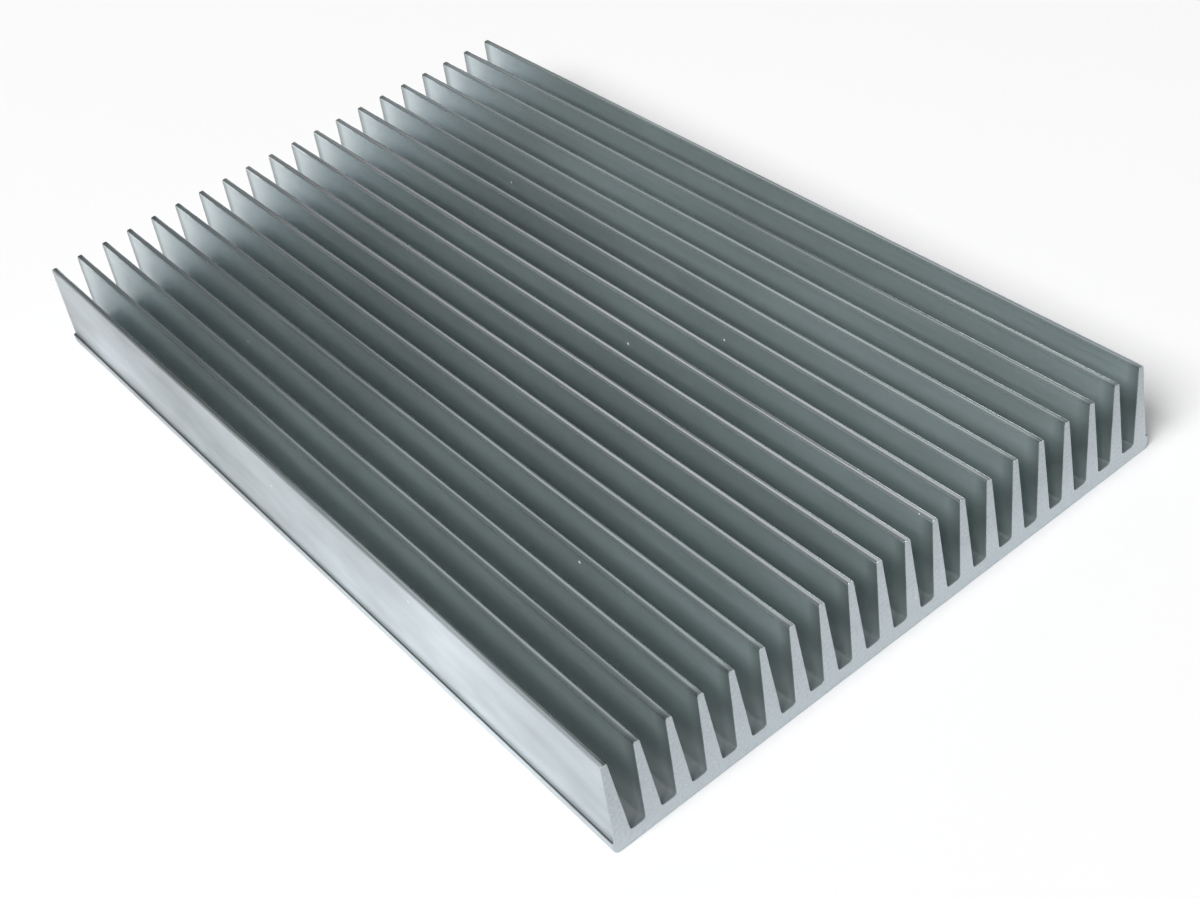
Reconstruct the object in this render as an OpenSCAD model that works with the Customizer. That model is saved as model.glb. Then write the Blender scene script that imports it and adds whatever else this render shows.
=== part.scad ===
// Extruded heat sink: a flat base with a comb of straight, tapered fins.
// The whole part is one section pushed through a die and sawn to length, so it is drawn
// as one outline and extruded once. The fins stand up along +Z and run along Y, and the
// origin is the middle of the flat underside.

/* [Overall] */
// Width across the base, over both lips
sink_w = 93; // [85:1:130]
// Height from the underside to the fin tips
sink_h = 15; // [12:0.5:25]
// Length that the section is sawn to
sink_l = 150; // [40:1:300]

/* [Base] */
// Thickness of the base under the channels
base_t = 2.2; // [1.8:0.1:4]
// Radius along the two lower long edges
lower_edge_r = 1; // [0.3:0.1:1.2]
// Width of the lip that stands out beyond the foot of each outer fin
lip_w = 0.4; // [0.4:0.05:0.8]
// Radius along the top edge of each lip
lip_r = 0.2; // [0.1:0.05:0.2]

/* [Fins] */
// Number of fins
fin_count = 20; // [8:1:22]
// Thickness of a fin where it meets the base
fin_root_t = 2.5; // [1.8:0.1:2.8]
// Thickness of a fin across its tip, before the corners are rounded
fin_tip_t = 0.95; // [0.8:0.05:1.5]
// Radius of the two corners of each fin tip
tip_r = 0.3; // [0.1:0.05:0.35]
// Radius in the corners of the channel floors
root_r = 0.4; // [0.2:0.05:0.5]
// Radius where the outer fins meet the lips
foot_r = 0.15; // [0.1:0.05:0.2]

/* [Hidden] */
$fn = 64;

// How far each side of a fin leans in from upright
fin_lean = atan((fin_root_t - fin_tip_t) / 2 / (sink_h - base_t));
// Distance from the middle of one fin to the middle of the next
outer_fin_x = sink_w / 2 - lip_w - fin_root_t / 2;
fin_pitch = 2 * outer_fin_x / (fin_count - 1);
// How far shapes reach into each other, or past a face that they cut
lap = base_t / 2;

// Half the thickness of a fin at height z
function fin_half_t(z) = fin_tip_t / 2 + (sink_h - z) * tan(fin_lean);
// Sideways distance from a fin's side to the middle of an arc of radius r that touches it
function touch_x(r) = r / cos(fin_lean);
// The point where an arc of radius r leaves its middle towards a fin's side
function side_step(r) = [r * cos(fin_lean), r * sin(fin_lean)];

// What is cut away to round the corner at the origin, where the solid lies at +X and +Y
module corner_waste(r) {
    difference() {
        translate([-lap, -lap])
            square(r + lap);
        translate([r, r])
            circle(r);
    }
}

// The base with its rounded lower edges and the small radius on top of each lip
module base_section() {
    difference() {
        translate([-sink_w / 2, 0])
            square([sink_w, base_t]);
        for (side = [0, 1])
            mirror([side, 0]) {
                translate([-sink_w / 2, 0])
                    corner_waste(lower_edge_r);
                translate([-sink_w / 2, base_t])
                    mirror([0, 1])
                        corner_waste(lip_r);
            }
    }
}

// One fin on the middle line: two leaning sides, and a flat tip between round corners
module fin_section() {
    arc_z = sink_h - tip_r;
    arc_x = fin_half_t(arc_z) - touch_x(tip_r);
    corner = [arc_x, arc_z] + side_step(tip_r);
    foot_z = base_t - lap;
    polygon([
        [-fin_half_t(foot_z), foot_z], [fin_half_t(foot_z), foot_z],
        corner, [arc_x, sink_h], [-arc_x, sink_h], [-corner.x, corner.y]
    ]);
    for (x = [-arc_x, arc_x])
        translate([x, arc_z])
            circle(tip_r);
}

// The filling in the corner between the right side of a fin and the top of the base
module root_fillet(r) {
    arc_z = base_t + r;
    arc_x = fin_half_t(arc_z) + touch_x(r);
    difference() {
        polygon([[arc_x, base_t], [arc_x, arc_z] - side_step(r), [0, base_t - lap]]);
        translate([arc_x, arc_z])
            circle(r);
    }
}

// The section of the die: base, comb of fins, and the radius in every corner between them
module sink_section() {
    base_section();
    for (i = [0:fin_count - 1])
        translate([i * fin_pitch - outer_fin_x, 0]) {
            fin_section();
            root_fillet(i == fin_count - 1 ? foot_r : root_r);
            mirror([1, 0])
                root_fillet(i == 0 ? foot_r : root_r);
        }
}

// The section sawn to length, lying on its underside with the fins up
module heat_sink() {
    color("silver")
        rotate([90, 0, 0])
            linear_extrude(height = sink_l, center = true)
                sink_section();
}

heat_sink();
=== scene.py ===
# %% [markdown]
# # An extruded heat sink
#
# A heat sink like this one starts as a hot aluminium billet that a press squeezes through a
# steel die. The die gives the whole section in one stroke: a flat base with a comb of
# tapered fins. The long bar is then stretched straight and sawn into lengths.
#
# Nearly all of its look comes from those two steps. The long faces carry faint lines from the
# die, all running one way, and the two ends carry the marks of the saw. This script takes the
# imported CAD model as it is, gives its sawn edges their small broken arrises, and then spends
# its effort on the metal and on the light that the metal reflects.

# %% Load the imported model
from math import cos, radians, sin

import bmesh
import bpy
from mathutils import Matrix, Vector, noise


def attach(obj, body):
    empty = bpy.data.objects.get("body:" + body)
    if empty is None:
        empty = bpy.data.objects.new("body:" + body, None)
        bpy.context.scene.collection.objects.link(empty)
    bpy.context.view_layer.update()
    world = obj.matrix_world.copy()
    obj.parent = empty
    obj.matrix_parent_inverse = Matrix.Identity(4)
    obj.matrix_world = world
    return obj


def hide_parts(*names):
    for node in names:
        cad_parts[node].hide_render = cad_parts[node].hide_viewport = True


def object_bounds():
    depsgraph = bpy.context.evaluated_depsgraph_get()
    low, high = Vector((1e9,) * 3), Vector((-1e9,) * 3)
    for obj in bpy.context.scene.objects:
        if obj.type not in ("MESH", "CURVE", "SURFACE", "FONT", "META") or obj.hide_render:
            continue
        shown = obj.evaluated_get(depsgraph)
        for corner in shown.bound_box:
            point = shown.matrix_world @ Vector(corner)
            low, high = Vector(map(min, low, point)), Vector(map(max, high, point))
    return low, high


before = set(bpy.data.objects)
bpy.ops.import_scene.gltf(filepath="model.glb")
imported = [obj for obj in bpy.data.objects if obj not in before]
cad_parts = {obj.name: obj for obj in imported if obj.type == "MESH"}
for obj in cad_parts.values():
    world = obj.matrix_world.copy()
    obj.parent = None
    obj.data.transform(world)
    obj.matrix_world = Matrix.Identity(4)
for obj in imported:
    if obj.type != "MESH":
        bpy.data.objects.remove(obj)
cad_low, cad_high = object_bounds()
print("CAD nodes:", list(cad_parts))

# %% [markdown]
# ## Units
#
# Blender works in metres here, and this object's details are fractions of a millimetre. One
# named unit keeps those numbers readable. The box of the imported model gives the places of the
# ends, the long edges and the tips. The four measures of the section that the box can't tell
# are repeated from the CAD source.

# %% One named unit, and the places that the finish depends on
MM = 0.001
LIP_WIDTH = 0.4 * MM
LIP_TOP = 2.2 * MM
FIN_COUNT = 20
FIN_ROOT = 2.5 * MM
size = cad_high - cad_low
half_width = size.x / 2
half_length = size.y / 2
height = size.z
outer_fin = half_width - LIP_WIDTH - FIN_ROOT / 2
fin_pitch = 2 * outer_fin / (FIN_COUNT - 1)
print("CAD box in mm:", [round(side / MM, 2) for side in size])
print("from fin to fin:", round(fin_pitch / MM, 3), "mm")

# %% [markdown]
# ## The sawn bar
#
# The CAD model has perfectly sharp ends. On the real part the saw leaves an edge that a deburring
# tool or just handling has broken by about a tenth of a millimetre, and each broken edge
# catches a thin line of light. It could be faked by a bevel shader, but that is lost when
# the model is exported, so it is cut into the mesh.
#
# The CAD mesh is loose triangles and stays untouched. A copy is merged into a closed shell,
# and its flat faces are joined up, so that each end is one face with one outline to bevel.

# %% Merge a copy of the CAD mesh into clean faces
MERGE_DISTANCE = 0.001 * MM
FLAT_ANGLE = radians(0.4)


def merged_copy(node):
    """The CAD node's mesh as a bmesh, closed, with each flat face in one piece."""
    bm = bmesh.new()
    bm.from_mesh(node.data)
    bmesh.ops.remove_doubles(bm, verts=bm.verts, dist=MERGE_DISTANCE)
    bmesh.ops.dissolve_limit(bm, angle_limit=FLAT_ANGLE, verts=bm.verts, edges=bm.edges)
    return bm


bar = merged_copy(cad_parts["heat_sink"])
open_edges = [edge for edge in bar.edges if not edge.is_manifold]
print("faces after merging:", len(bar.faces), "open edges:", len(open_edges))

# %% [markdown]
# A broken edge is never even: the tool skips and the burr tears. So the long straight
# stretches of each outline are first divided into short ones. After the bevel, the points on
# the long faces slide a little along the bar, by a smooth noise. They stay on their own
# faces, because every long face runs along Y, and the box of the part doesn't change.

# %% Break the edges of both sawn ends
ARRIS = 0.12 * MM
ARRIS_WANDER = 0.05 * MM
ARRIS_STEP = 0.6 * MM
WANDER_SCALE = 900
END_FACING = 0.999


def is_sawn_end(face):
    return abs(face.normal.y) > END_FACING


def end_outlines(bm):
    """The edges around both sawn ends."""
    ends = [face for face in bm.faces if is_sawn_end(face)]
    return list({edge for face in ends for edge in face.edges})


def divide_long_edges(bm, edges, step):
    for edge in edges:
        cuts = int(edge.calc_length() / step)
        if cuts:
            bmesh.ops.subdivide_edges(bm, edges=[edge], cuts=cuts)


def break_sawn_edges(bm):
    divide_long_edges(bm, end_outlines(bm), ARRIS_STEP)
    bmesh.ops.bevel(
        bm, geom=end_outlines(bm), affect="EDGES", offset=ARRIS, offset_type="OFFSET",
        segments=2, profile=0.5, material=-1, clamp_overlap=True,
    )
    for vert in bm.verts:
        set_back = half_length - abs(vert.co.y)
        side = 1 if vert.co.y > 0 else -1
        if set_back < MERGE_DISTANCE:
            vert.co.y = cad_high.y if side > 0 else cad_low.y
        elif ARRIS / 2 < set_back < 2 * ARRIS:
            vert.co.y += side * noise.noise(vert.co * WANDER_SCALE) * ARRIS_WANDER


break_sawn_edges(bar)
print("faces with broken edges:", len(bar.faces))

# %% [markdown]
# Round corners look round only if the light runs smoothly over them, while flat faces stay
# flat. So all long faces are shaded smooth, real corners are marked sharp, and a Weighted
# Normal modifier lets the large flat faces decide the direction of the shading.

# %% Turn the bar into an object
CORNER_ANGLE = radians(38)


def shade_bar(bm):
    for face in bm.faces:
        face.smooth = not is_sawn_end(face)
    for edge in bm.edges:
        edge.smooth = edge.calc_face_angle(0) < CORNER_ANGLE


def object_from(bm, name):
    mesh = bpy.data.meshes.new(name)
    bm.to_mesh(mesh)
    bm.free()
    made = bpy.data.objects.new(name, mesh)
    bpy.context.scene.collection.objects.link(made)
    return made


shade_bar(bar)
sawn_bar = object_from(bar, "sawn_bar")
flat_first = sawn_bar.modifiers.new("flat faces first", "WEIGHTED_NORMAL")
flat_first.keep_sharp = True
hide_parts("heat_sink")
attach(sawn_bar, "root")
print("sawn_bar has", len(sawn_bar.data.polygons), "faces")

# %% [markdown]
# ## The metal
#
# Plain aluminium from the press isn't polished and isn't matt: it is a soft mirror, a little
# more blue than red. Freshly cut it reflects about four fifths of the light. This bar has been
# stored, and a thin grey film has brought that down to about half. Deep between the fins the
# light is reflected several times before it comes out, and that makes the channels dark. The
# film is painted, thicker in some places than in others, and over it go a few marks of painted
# light and shade, which the sections below name.
#
# A material is a graph of nodes. One short helper makes a node, sets its options and fills
# its inputs. The others are the four kinds of node that come up again and again, and with them
# the rest reads like a recipe.

# %% Helpers that add nodes to a material
def add(tree, kind, inputs=None, **options):
    """A new node. inputs maps a socket's name or number to a value or to another socket."""
    made = tree.nodes.new(kind)
    for name, value in options.items():
        setattr(made, name, value)
    for socket, value in (inputs or {}).items():
        if isinstance(value, bpy.types.NodeSocket):
            tree.links.new(value, made.inputs[socket])
        else:
            made.inputs[socket].default_value = value
    return made


def calc(tree, operation, first, second=0.0):
    """The result of one sum. first and second are numbers or sockets."""
    return add(tree, "ShaderNodeMath", {0: first, 1: second}, operation=operation).outputs[0]


def ramp(tree, value, low, high, to_low=0.0, to_high=1.0):
    """value from low to high, remapped to to_low to to_high and held at both ends."""
    inputs = {"Value": value, 1: low, 2: high, 3: to_low, 4: to_high}
    return add(tree, "ShaderNodeMapRange", inputs, clamp=True).outputs[0]


def mix(tree, factor, first, second):
    """One number over another."""
    return add(tree, "ShaderNodeMix", {"Factor": factor, 2: first, 3: second}).outputs[0]


def blend(tree, factor, first, second):
    """One colour over another."""
    inputs = {"Factor": factor, 6: first, 7: second}
    return add(tree, "ShaderNodeMix", inputs, data_type="RGBA").outputs[2]


print("helpers:", [helper.__name__ for helper in (add, calc, ramp, mix, blend)])

# %% [markdown]
# ### Lines from the die
#
# Tiny scratches in the die draw lines along the whole bar. A noise that is squeezed across
# the bar and stretched along it gives just that. It is read at three sizes: fine lines that
# change the roughness and the relief, broad soft bands that change the tone a little, and
# clouds that change it more.

# %% Patterns along the bar
FINE_LINES = (2600, 5, 2600)
BROAD_BANDS = (420, 2.5, 420)
CLOUDS = (70, 22, 70)
NOISE_LOW, NOISE_HIGH = 0.3, 0.7


def stretched_noise(tree, place, scale, detail):
    """A noise on Object coordinates, stretched along the bar."""
    stretched = add(tree, "ShaderNodeMapping", {"Vector": place, "Scale": scale})
    inputs = {"Vector": stretched.outputs[0], "Scale": 1.0, "Detail": detail, "Roughness": 0.6}
    return add(tree, "ShaderNodeTexNoise", inputs).outputs[0]


print("lines every", round(1 / FINE_LINES[0] / MM, 2), "mm across the bar")

# %% [markdown]
# ### Every ridge is a little different
#
# Each fin was drawn through its own slot of the die, and the bottom of every slot wears in its
# own way. So the crown of a fin is slightly domed, and no two are quite the same: one leans a
# few degrees to the left, the next to the right, and the lean drifts along the bar. On a
# surface this shiny that makes one ridge a bright line and its neighbour a faint one. The
# first fin leans farther than the others, so its line is the faintest.
#
# The number of the nearest fin and the distance from its middle come from X alone. The
# distance is held at the edge of the crown, so the sides of the fins get no relief from it.

# %% Which fin, how far from its middle, and the shape of its crown
CROWN_HALF = 0.45 * MM
CROWN_DOME = 420
RIDGE_DEPTH = 0.35 * MM
RIDGE_LEAN = 0.18
LEAN_DRIFT = 14
FIN_SPREAD = 5.37
FIRST_FIN_LEAN = -0.25


def nearest_fin(tree, across):
    """The number of the nearest fin, and the signed distance from its middle plane."""
    first = calc(tree, "ADD", across, outer_fin)
    number = calc(tree, "ROUND", calc(tree, "DIVIDE", first, fin_pitch))
    distance = calc(tree, "SUBTRACT", first, calc(tree, "MULTIPLY", number, fin_pitch))
    return number, distance


def on_ridge(tree, up):
    """1 on the crown of the fins, 0 below it."""
    return ramp(tree, up, height - RIDGE_DEPTH, height - RIDGE_DEPTH / 2)


def crown_relief(tree, along, up, number, distance):
    """Relief in metres that domes the crown of each fin and leans it its own way."""
    drift = calc(tree, "MULTIPLY", along, LEAN_DRIFT)
    spread = calc(tree, "MULTIPLY", number, FIN_SPREAD)
    spot = add(tree, "ShaderNodeCombineXYZ", {0: spread, 1: drift}).outputs[0]
    inputs = {"Vector": spot, "Scale": 1.0, "Detail": 1.0}
    wander = add(tree, "ShaderNodeTexNoise", inputs).outputs[0]
    own_lean = ramp(tree, wander, NOISE_LOW, NOISE_HIGH, -RIDGE_LEAN, RIDGE_LEAN)
    is_first = calc(tree, "LESS_THAN", number, 0.5)
    lean = calc(tree, "ADD", own_lean, calc(tree, "MULTIPLY", is_first, FIRST_FIN_LEAN))
    held = ramp(tree, distance, -CROWN_HALF, CROWN_HALF, -CROWN_HALF, CROWN_HALF)
    leaning = calc(tree, "MULTIPLY", lean, held)
    dome = calc(tree, "MULTIPLY", calc(tree, "MULTIPLY", held, held), CROWN_DOME)
    relief = calc(tree, "SUBTRACT", leaning, dome)
    return calc(tree, "MULTIPLY", relief, calc(tree, "GREATER_THAN", up, height / 2))


print("crowns lean up to", RIDGE_LEAN, "radians")

# %% [markdown]
# ### Marks of the saw
#
# A circular blade sweeps across the section and leaves shallow arcs, all about one
# centre far outside the part. Rings about an axis along Y draw them. They are kept
# to the two end faces by a mask on the distance from the middle of the bar.
#
# Over the first millimetre or two from each sawn edge, painted shade darkens the faces inside
# the channels. It needs only the distance from the sawn edge, so it is a ramp along Y.

# %% Patterns on the sawn ends
BLADE_CENTRE = (0.04, 0, -0.11)
ARC_SCALE = 330
ARC_SHARE = 0.08
SAW_GRAIN = (2600, 2600, 2600)
END_SKIN = 0.03 * MM
# How far the painted shade at the sawn edges reaches.
END_SHADE_FULL, END_SHADE_GONE = 0.3 * MM, 2.0 * MM


def saw_arcs(tree, place):
    """Arcs about the blade's centre, from 0 to 1."""
    about = add(tree, "ShaderNodeMapping", {"Vector": place, "Location": BLADE_CENTRE},
                vector_type="TEXTURE")
    inputs = {"Vector": about.outputs[0], "Scale": ARC_SCALE, "Distortion": 2.5,
              "Detail": 3.0, "Detail Scale": 1.5, "Detail Roughness": 0.6}
    return add(tree, "ShaderNodeTexWave", inputs, wave_type="RINGS",
               rings_direction="Y").outputs[1]


def saw_cut(tree, place):
    """The fine grain of the cut, with the arcs faintly over it."""
    arcs = calc(tree, "MULTIPLY", saw_arcs(tree, place), ARC_SHARE)
    return calc(tree, "ADD", arcs, stretched_noise(tree, place, SAW_GRAIN, 2.0))


def on_sawn_end(tree, along):
    """1 on the two end faces, 0 on the long faces."""
    distance = calc(tree, "ABSOLUTE", along)
    return calc(tree, "GREATER_THAN", distance, half_length - END_SKIN)


def end_shade(tree, along):
    """Painted shade: 1 at both sawn edges, fading to 0 a short way along the bar."""
    set_back = calc(tree, "SUBTRACT", half_length, calc(tree, "ABSOLUTE", along))
    return ramp(tree, set_back, END_SHADE_FULL, END_SHADE_GONE, 1.0, 0.0)


print("saw arcs about", BLADE_CENTRE)

# %% [markdown]
# ### Painted shade on the lips
#
# Along each long edge the base stands out past the outer fin as a narrow lip. Along the top
# of that lip, next to the fin, runs a dark line of painted shade. The line is a short distance
# from the middle of the lip, which runs along Y, so it needs only X and Z.

# %% A line of painted shade along both lips
SHADE_REACH = 0.07 * MM
SHADE_MIDDLE = 0.17 * MM


def lip_corner_shade(tree, across, up):
    """Painted shade: 1 on top of the two lips, fading to 0 a short way out."""
    from_middle = calc(tree, "SUBTRACT", calc(tree, "ABSOLUTE", across), half_width - SHADE_MIDDLE)
    from_top = calc(tree, "SUBTRACT", up, LIP_TOP)
    squared = calc(tree, "ADD", calc(tree, "POWER", from_middle, 2.0),
                   calc(tree, "POWER", from_top, 2.0))
    return ramp(tree, calc(tree, "SQRT", squared), SHADE_REACH, 2 * SHADE_REACH, 1.0, 0.0)


print("dirt reaches", SHADE_REACH / MM, "mm from the middle of the lip")

# %% [markdown]
# ### Specks of dust
#
# A few bright grains have settled on the fins. A Voronoi pattern has one point in each of
# its cells, so a small distance from that point is a little ball. Only the few balls that
# the metal's surface happens to cut show up as dots.

# %% A few bright specks
SPECK_CELLS = 110
SPECK_RADIUS = 0.22 * MM


def dust_specks(tree, place):
    """1 on a few tiny dots, 0 elsewhere."""
    cells = add(tree, "ShaderNodeTexVoronoi", {"Vector": place, "Scale": SPECK_CELLS}).outputs
    return calc(tree, "LESS_THAN", cells["Distance"], SPECK_RADIUS * SPECK_CELLS)


print("specks", 2 * SPECK_RADIUS / MM, "mm across")

# %% [markdown]
# ### The film between the fins, and painted light and shade
#
# The faces inside the channels keep their film, and it is never even. It shows as soft bands
# along the bar with clouds over them. Over it, painted light makes the faces lighter toward
# the near end and darker toward the far end, and the last centimetres of the far end are
# painted lighter again. More painted light lifts the shade low down in the left half, deep in
# the channels and under the base. The outsides of the two outer fins get a brighter, bluer
# tone of their own, painted light for what they mirror, and they too are painted darker
# toward the far end. All of this is chosen by the place on the part, so nothing has to be
# painted by hand.

# %% The colour of the long faces
BRIGHT_METAL = (0.565, 0.655, 0.66, 1)
DULL_METAL = (0.43, 0.50, 0.50, 1)
# Painted light: the faces in the last centimetres of the far end are lighter.
FAR_END_LIT_METAL = (0.61, 0.685, 0.71, 1)
# Painted shade near both sawn edges.
END_SHADE_METAL = (0.30, 0.35, 0.355, 1)
# The outsides: a brighter, bluer painted tone for what they mirror, darker toward the far end.
OUTSIDE_LIT_METAL = (0.665, 0.735, 0.77, 1)
OUTSIDE_SHADED_METAL = (0.30, 0.333, 0.35, 1)
# Painted light that lifts the shade low in the left channels.
LOW_LEFT_LIT_METAL = (0.76, 0.80, 0.81, 1)
DEEP_LOW, DEEP_HIGH = 5 * MM, 9 * MM
DEEP_LEFT, DEEP_RIGHT = -30 * MM, 20 * MM
STREAKY, CLOUDY = (0.7, 2.0), (0.2, 2.5)
TONE_DULL, TONE_BRIGHT = 0.85, 1.85
# How strongly the faces are painted lighter toward the near end and darker toward the far end.
NEAR_LIGHT_GAIN, OUTSIDE_LIGHT_GAIN = 2.8, 5.0
far_light_start, far_light_end = half_length - 30 * MM, half_length - 6 * MM


def mottled(tree, broad, clouds, weights):
    """The broad bands and the clouds, added up with a weight each."""
    return calc(tree, "ADD", calc(tree, "MULTIPLY", broad, weights[0]),
                calc(tree, "MULTIPLY", clouds, weights[1]))


def toned(tree, mottle, along, light_gain, dull, bright):
    """From dull to bright metal with the mottle, and painted lighter toward the near end."""
    # Painted light: the tone rises toward the near end.
    patina_and_light = calc(tree, "SUBTRACT", mottle, calc(tree, "MULTIPLY", along, light_gain))
    return blend(tree, ramp(tree, patina_and_light, TONE_DULL, TONE_BRIGHT), dull, bright)


def low_left_lift(tree, across, up):
    """Painted light: 1 low down in the left half, fading out upward and to the right."""
    low = ramp(tree, up, DEEP_LOW, DEEP_HIGH, 1.0, 0.0)
    return calc(tree, "MULTIPLY", low, ramp(tree, across, DEEP_LEFT, DEEP_RIGHT, 1.0, 0.0))


def long_face_colour(tree, across, along, up, broad, clouds):
    """The film between the fins and the tone of the outsides, with painted light and shade."""
    streaky = mottled(tree, broad, clouds, STREAKY)
    cloudy = mottled(tree, broad, clouds, CLOUDY)
    film_and_light = toned(tree, streaky, along, NEAR_LIGHT_GAIN, DULL_METAL, BRIGHT_METAL)
    # Painted light that lifts the shade low in the left half.
    film_and_light = blend(tree, low_left_lift(tree, across, up), film_and_light, LOW_LEFT_LIT_METAL)
    # Painted light in the last centimetres of the far end.
    film_and_light = blend(tree, ramp(tree, along, far_light_start, far_light_end), film_and_light, FAR_END_LIT_METAL)
    # Painted shade near both sawn edges.
    film_and_light = blend(tree, end_shade(tree, along), film_and_light, END_SHADE_METAL)
    # The outsides get their own painted lit tone, darker toward the far end.
    outside_tone = toned(tree, cloudy, along, OUTSIDE_LIGHT_GAIN, OUTSIDE_SHADED_METAL, OUTSIDE_LIT_METAL)
    outside = calc(tree, "GREATER_THAN", calc(tree, "ABSOLUTE", across), outer_fin)
    return blend(tree, outside, film_and_light, outside_tone)


print("rinsed from y =", round(far_light_start / MM, 1), "mm to", round(far_light_end / MM, 1), "mm")

# %% [markdown]
# The crowns in the middle of the comb carry a painted highlight: their colour is brighter, so
# the window's reflection there is stronger, and it fades toward the outer fins.

# %% The colour of the crowns
# The colour of the painted highlight on the middle crowns.
CROWN_HIGHLIGHT_METAL = (0.715, 0.775, 0.795, 1)
HIGHLIGHT_FULL, HIGHLIGHT_GONE = 1.5, 5.0
MIDDLE_FIN = (FIN_COUNT - 1) / 2


def crown_highlight(tree, number, ridge):
    """Painted highlight: 1 on the middle crowns, fading to 0 on the outer ones."""
    from_middle = calc(tree, "ABSOLUTE", calc(tree, "SUBTRACT", number, MIDDLE_FIN))
    in_highlight = ramp(tree, from_middle, HIGHLIGHT_FULL, HIGHLIGHT_GONE, 1.0, 0.0)
    return calc(tree, "MULTIPLY", ridge, in_highlight)


print("brightest crowns: within", HIGHLIGHT_FULL, "fins of the middle of the comb")

# %% [markdown]
# The two ends are bare cut metal. They are brightest at the base and get duller toward the
# tips of the fins, which are what boxes and fingers rub against.

# %% The colour of the ends
SAWN_METAL = (0.565, 0.625, 0.66, 1)
SAWN_DARK = (0.43, 0.475, 0.495, 1)
RUB_GAIN = 32
RUB_START, RUB_FULL = 0.55, 1.15


def end_colour(tree, up, cut):
    """Cut metal, rubbed duller toward the tips of the fins."""
    rubbed = calc(tree, "ADD", cut, calc(tree, "MULTIPLY", up, RUB_GAIN))
    return blend(tree, ramp(tree, rubbed, RUB_START, RUB_FULL), SAWN_METAL, SAWN_DARK)


print("ends from", SAWN_METAL[:3], "to", SAWN_DARK[:3])

# %% [markdown]
# ### How sharply it mirrors
#
# Roughness decides how wide a reflection is smeared. The crowns of the fins are rubbed the
# smoothest, the sides are as the die left them, and the sawn ends are the roughest. The outer
# corners of the two outer fins are worn matt, so no sharp dark line runs along them.
#
# In two places a dry powder scatters light instead of mirroring it, so there the metal is made
# a little less metallic. One is a haze of oxide on the crowns and the upper sides in the right
# half of the part. The other is the fine dust that settles at the bottom of every channel.

# %% Roughness and haze
SIDE_ROUGHNESS = (0.34, 0.44)
CROWN_ROUGHNESS = (0.18, 0.26)
END_ROUGHNESS = (0.42, 0.58)
CUT_LOW, CUT_HIGH = 0.4, 1.0
HAZE_START, HAZE_END = 3 * MM, 27 * MM
HAZE_WANDER = 0.2
HAZE_LOW, HAZE_HIGH = 9 * MM, 12.5 * MM
CLEAN_METALLIC, HAZY_METALLIC = 0.79, 0.69
CLEAN_CROWN, HAZY_CROWN = 0.92, 0.82
DUST_LOW, DUST_HIGH = 3 * MM, 8 * MM
DUST_SHARE = 0.3
WORN_START, WORN_FULL = 0.12 * MM, 0.25 * MM
WORN_ROUGHNESS, WORN_METALLIC = 0.45, 0.65


def worn_corner(tree, across, ridge):
    """1 on the outer corner of the two outer fins, 0 elsewhere."""
    outward = calc(tree, "SUBTRACT", calc(tree, "ABSOLUTE", across), outer_fin)
    return calc(tree, "MULTIPLY", ridge, ramp(tree, outward, WORN_START, WORN_FULL))


def metal_roughness(tree, fine, cut, ridge, worn, sawn):
    """Rough across the fine lines, smoother on the crowns, matt where worn and on the ends."""
    side = ramp(tree, fine, NOISE_LOW, NOISE_HIGH, *SIDE_ROUGHNESS)
    crown = ramp(tree, fine, NOISE_LOW, NOISE_HIGH, *CROWN_ROUGHNESS)
    end = ramp(tree, cut, CUT_LOW, CUT_HIGH, *END_ROUGHNESS)
    long_faces = mix(tree, worn, mix(tree, ridge, side, crown), WORN_ROUGHNESS)
    return mix(tree, sawn, long_faces, end)


def channel_dust(tree, across, up):
    """1 at the bottom of the channels, fading to 0 up the sides of the fins."""
    between = calc(tree, "LESS_THAN", calc(tree, "ABSOLUTE", across), outer_fin)
    not_underneath = calc(tree, "GREATER_THAN", up, LIP_TOP / 2)
    inside = calc(tree, "MULTIPLY", between, not_underneath)
    return calc(tree, "MULTIPLY", inside, ramp(tree, up, DUST_LOW, DUST_HIGH, 1.0, 0.0))


def metal_share(tree, across, up, clouds, ridge, worn):
    """How metallic the surface is: most on the rubbed crowns, less under haze and dust."""
    uneven = ramp(tree, clouds, NOISE_LOW, NOISE_HIGH, -HAZE_WANDER, HAZE_WANDER)
    haze = calc(tree, "ADD", ramp(tree, across, HAZE_START, HAZE_END), uneven)
    crowns = ramp(tree, haze, 0.0, 1.0, CLEAN_CROWN, HAZY_CROWN)
    upper_haze = calc(tree, "MULTIPLY", haze, ramp(tree, up, HAZE_LOW, HAZE_HIGH))
    sides = ramp(tree, upper_haze, 0.0, 1.0, CLEAN_METALLIC, HAZY_METALLIC)
    share = mix(tree, worn, mix(tree, ridge, sides, crowns), WORN_METALLIC)
    dusty = calc(tree, "MULTIPLY", channel_dust(tree, across, up), DUST_SHARE)
    return calc(tree, "SUBTRACT", share, dusty)


print("roughness of sides, crowns, ends:", SIDE_ROUGHNESS, CROWN_ROUGHNESS, END_ROUGHNESS)

# %% [markdown]
# ### One material for the whole part
#
# The part is one metal, so it gets one material, and the masks choose between its finishes.
# The relief goes through a single Bump node, with its height in metres: die lines and crowns
# on the long faces, saw marks on the ends. The tangent runs around the Y axis, so the soft
# mirror is blurred more across the die lines than along them.

# %% The aluminium
LINE_RELIEF = 0.004 * MM
ARC_RELIEF = 0.003 * MM
ANISOTROPY = 0.5
# The colour of the painted shade along the lips.
CORNER_SHADE = (0.16, 0.17, 0.17, 1)
DUST = (0.85, 0.86, 0.85, 1)


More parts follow.
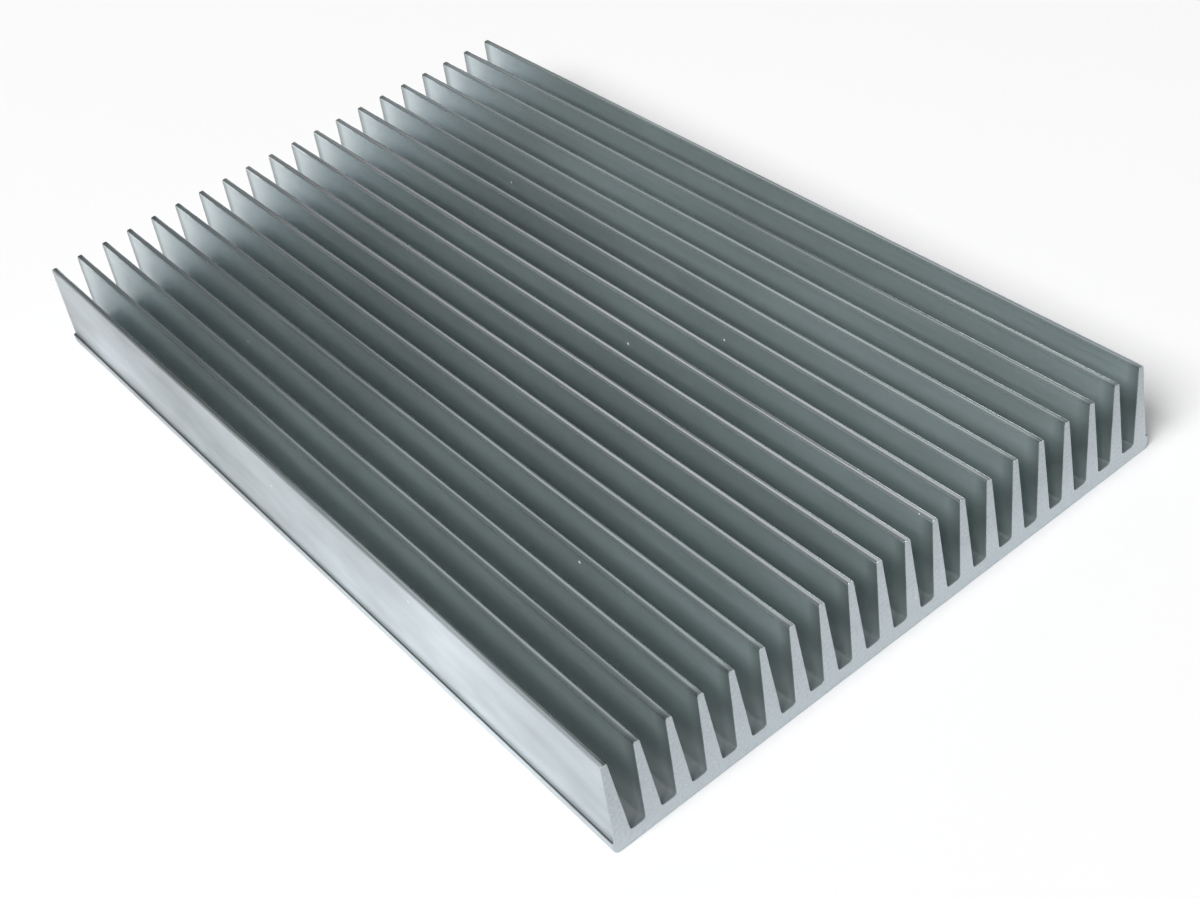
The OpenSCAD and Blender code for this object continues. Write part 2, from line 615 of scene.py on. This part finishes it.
def aluminium():
    material = bpy.data.materials.new("mill aluminium")
    material.use_nodes = True
    tree = material.node_tree
    shader = tree.nodes["Principled BSDF"]
    place = add(tree, "ShaderNodeTexCoord").outputs["Object"]
    across, along, up = add(tree, "ShaderNodeSeparateXYZ", {0: place}).outputs
    number, distance = nearest_fin(tree, across)
    fine = stretched_noise(tree, place, FINE_LINES, 3.0)
    broad = stretched_noise(tree, place, BROAD_BANDS, 2.0)
    clouds = stretched_noise(tree, place, CLOUDS, 3.0)
    cut = saw_cut(tree, place)
    sawn = on_sawn_end(tree, along)
    ridge = on_ridge(tree, up)
    dust = dust_specks(tree, place)

    long_faces = long_face_colour(tree, across, along, up, broad, clouds)
    # A painted highlight on the crowns in the middle of the comb.
    long_faces = blend(tree, crown_highlight(tree, number, ridge), long_faces, CROWN_HIGHLIGHT_METAL)
    metal = blend(tree, sawn, long_faces, end_colour(tree, up, cut))
    # Painted shade: a dark line along the top of each lip, next to the outer fin.
    corner_shaded = blend(tree, lip_corner_shade(tree, across, up), metal, CORNER_SHADE)
    tree.links.new(blend(tree, dust, corner_shaded, DUST), shader.inputs["Base Color"])

    worn = worn_corner(tree, across, ridge)
    roughness = metal_roughness(tree, fine, cut, ridge, worn, sawn)
    tree.links.new(roughness, shader.inputs["Roughness"])
    metallic = calc(tree, "MULTIPLY", metal_share(tree, across, up, clouds, ridge, worn),
                    calc(tree, "SUBTRACT", 1.0, dust))
    tree.links.new(metallic, shader.inputs["Metallic"])

    long_relief = calc(tree, "ADD", calc(tree, "MULTIPLY", fine, LINE_RELIEF),
                       crown_relief(tree, along, up, number, distance))
    relief = mix(tree, sawn, long_relief, calc(tree, "MULTIPLY", cut, ARC_RELIEF))
    bump = add(tree, "ShaderNodeBump", {"Strength": 1.0, "Distance": 1.0, "Height": relief})
    tree.links.new(bump.outputs[0], shader.inputs["Normal"])

    tangent = add(tree, "ShaderNodeTangent", direction_type="RADIAL", axis="Y")
    tree.links.new(tangent.outputs[0], shader.inputs["Tangent"])
    shader.inputs["Anisotropic"].default_value = ANISOTROPY
    return material


sawn_bar.data.materials.clear()
sawn_bar.data.materials.append(aluminium())
print("material:", sawn_bar.data.materials[0].name)

# %% [markdown]
# ## The table
#
# Bare metal looks like what is around it. This part lies on a white table, and its long
# side is bright only because it mirrors that table. The table itself is matt, so it shows
# nothing but the soft shadow of the part.
#
# Farther away the table fades into pure white, so that no edge or horizon shows behind the
# part from any side. Only the camera and the reflections see that white, so it adds no
# light to the scene.

# %% A plain white table
TABLE_RADIUS = 1.5
TABLE_SIDES = 96
FADE_START = 0.45
TABLE_WHITE = (0.97, 0.97, 0.97, 1)


def ray_kinds(tree):
    """Two masks: 1 for rays from the camera, and 1 for rays that metal or glass sends on."""
    path = add(tree, "ShaderNodeLightPath").outputs
    sent_on = calc(tree, "MAXIMUM", path["Is Glossy Ray"], path["Is Transmission Ray"])
    return path["Is Camera Ray"], sent_on


def faded_white(tree, matt):
    """The matt surface near the part, and pure white for the camera far away from it."""
    place = add(tree, "ShaderNodeTexCoord").outputs["Object"]
    away = add(tree, "ShaderNodeVectorMath", {0: place}, operation="LENGTH").outputs["Value"]
    seen = calc(tree, "MAXIMUM", *ray_kinds(tree))
    fade = calc(tree, "MULTIPLY", seen, ramp(tree, away, FADE_START, TABLE_RADIUS))
    white = add(tree, "ShaderNodeEmission", {"Color": (1, 1, 1, 1), "Strength": 1.0})
    return add(tree, "ShaderNodeMixShader", {0: fade, 1: matt, 2: white.outputs[0]}).outputs[0]


def white_table():
    bm = bmesh.new()
    bmesh.ops.create_circle(bm, cap_ends=True, segments=TABLE_SIDES, radius=TABLE_RADIUS)
    table = object_from(bm, "table")
    material = bpy.data.materials.new("white table")
    material.use_nodes = True
    tree = material.node_tree
    shader = tree.nodes["Principled BSDF"]
    shader.inputs["Base Color"].default_value = TABLE_WHITE
    shader.inputs["Roughness"].default_value = 1.0
    shader.inputs["Specular IOR Level"].default_value = 0.0
    surface = tree.nodes["Material Output"].inputs["Surface"]
    tree.links.new(faded_white(tree, shader.outputs[0]), surface)
    table.data.materials.append(material)
    return table


table = white_table()
print(table.name, "radius in metres:", TABLE_RADIUS)

# %% [markdown]
# ## The light
#
# The room is a dim studio, so that the channels stay dark, with a ceiling that gets lighter
# overhead. At the back right, halfway up, there is one soft window. It is where the crowns of
# the fins mirror it toward the camera, and it draws the thin light line along every ridge.
# The room's levels are pairs: the height of a direction, as its sine, and the light from there.
#
# The table ends somewhere, and behind it stands a low white backdrop. It glows only for
# reflections in the metal, so it adds no other light to the part. The camera sees plain white
# everywhere above the table.

# %% Walls, ceiling, window and backdrop
ROOM_LEVELS = ((0.0, 0.12), (0.55, 0.12), (0.8, 0.16), (1.0, 0.85))
WINDOW_AZIMUTH, WINDOW_ELEVATION = 145, 41
WINDOW_EDGE, WINDOW_CORE = cos(radians(17)), cos(radians(4))
WINDOW_LEVEL = 0.61
BACKDROP_FULL, BACKDROP_GONE = sin(radians(1)), sin(radians(4))


def direction_from(azimuth, elevation):
    """The way from the part to something seen at that azimuth and elevation, in degrees."""
    turn, rise = radians(azimuth), radians(elevation)
    return Vector((sin(turn) * cos(rise), -cos(turn) * cos(rise), sin(rise)))


def room_light(tree, up):
    """The level of the walls and the ceiling, by the height of the direction."""
    light = add(tree, "ShaderNodeValToRGB", {0: up})
    stops = light.color_ramp.elements
    for position, _ in ROOM_LEVELS[1:-1]:
        stops.new(position)
    for stop, (_, level) in zip(stops, ROOM_LEVELS):
        stop.color = (level, level, level, 1)
    return light.outputs[0]


def window_glow(tree, direction):
    """The level of the window, which fades out softly around its middle."""
    inputs = {0: direction, 1: direction_from(WINDOW_AZIMUTH, WINDOW_ELEVATION)}
    facing = add(tree, "ShaderNodeVectorMath", inputs, operation="DOT_PRODUCT").outputs["Value"]
    return ramp(tree, facing, WINDOW_EDGE, WINDOW_CORE, 0.0, WINDOW_LEVEL)


def studio_room():
    world = bpy.data.worlds.new("studio room")
    world.use_nodes = True
    tree = world.node_tree
    direction = add(tree, "ShaderNodeTexCoord").outputs["Generated"]
    up = add(tree, "ShaderNodeSeparateXYZ", {0: direction}).outputs[2]
    level = calc(tree, "ADD", room_light(tree, up), window_glow(tree, direction))
    from_camera, sent_on = ray_kinds(tree)
    backdrop = ramp(tree, up, BACKDROP_FULL, BACKDROP_GONE, 1.0, 0.0)
    seen = calc(tree, "MAXIMUM", from_camera, calc(tree, "MULTIPLY", sent_on, backdrop))
    background = tree.nodes["Background"]
    tree.links.new(blend(tree, seen, level, (1, 1, 1, 1)), background.inputs["Color"])
    bpy.context.scene.world = world
    return world


world = studio_room()
print("world:", world.name)

# %% [markdown]
# Two lamps do the rest. A large soft one from the left lights the long side, the sawn ends
# and the table. A small white card low on the right draws the thin bright edge that the near
# ridges have on that side.

# %% Two soft lamps
def soft_lamp(name, azimuth, elevation, distance, side, watts):
    """A square lamp that looks at the part from that direction."""
    data = bpy.data.lights.new(name, "AREA")
    data.size = side
    data.energy = watts
    lamp = bpy.data.objects.new(name, data)
    bpy.context.scene.collection.objects.link(lamp)
    back = direction_from(azimuth, elevation)
    lamp.location = back * distance
    lamp.rotation_euler = back.to_track_quat("Z", "Y").to_euler()
    return lamp


key = soft_lamp("key lamp", azimuth=-75, elevation=50, distance=4.0, side=2.2, watts=163)
card = soft_lamp("white card", azimuth=119, elevation=7, distance=2.5, side=0.4, watts=2)
print("lamps at", [[round(value, 2) for value in lamp.location] for lamp in (key, card)])

# %% [markdown]
# ## The camera
#
# It looks down over one corner of the part, with the near end on the right and the long
# side on the left, and it is rolled, so that the part lies across the picture. Its place is
# given the way one sets up a tripod: what it aims at, from which side, how high, how far and
# how tilted.

# %% The camera
AIM = Vector((-0.45, -11.85, -5.05)) * MM
VIEW_AZIMUTH = -29.41
VIEW_ELEVATION = 40.04
VIEW_ROLL = -13.28
VIEW_DISTANCE = 269.8 * MM
LENS = 53.88


def aim_camera():
    data = bpy.data.cameras.new("camera")
    data.lens = LENS
    data.clip_start = 10 * MM
    camera = bpy.data.objects.new("camera", data)
    bpy.context.scene.collection.objects.link(camera)
    back = direction_from(VIEW_AZIMUTH, VIEW_ELEVATION)
    level = back.to_track_quat("Z", "Y").to_matrix()
    rolled = level @ Matrix.Rotation(radians(VIEW_ROLL), 3, "Z")
    camera.matrix_world = Matrix.Translation(AIM + back * VIEW_DISTANCE) @ rolled.to_4x4()
    bpy.context.scene.camera = camera
    return camera


camera = aim_camera()
bpy.context.scene.view_settings.view_transform = "Standard"
print("camera at", [round(value / MM) for value in camera.location], "mm")

# %% [markdown]
# ## Finish
#
# The dressed part must be exactly as large as the CAD model.

# %% Finish
bpy.context.view_layer.update()
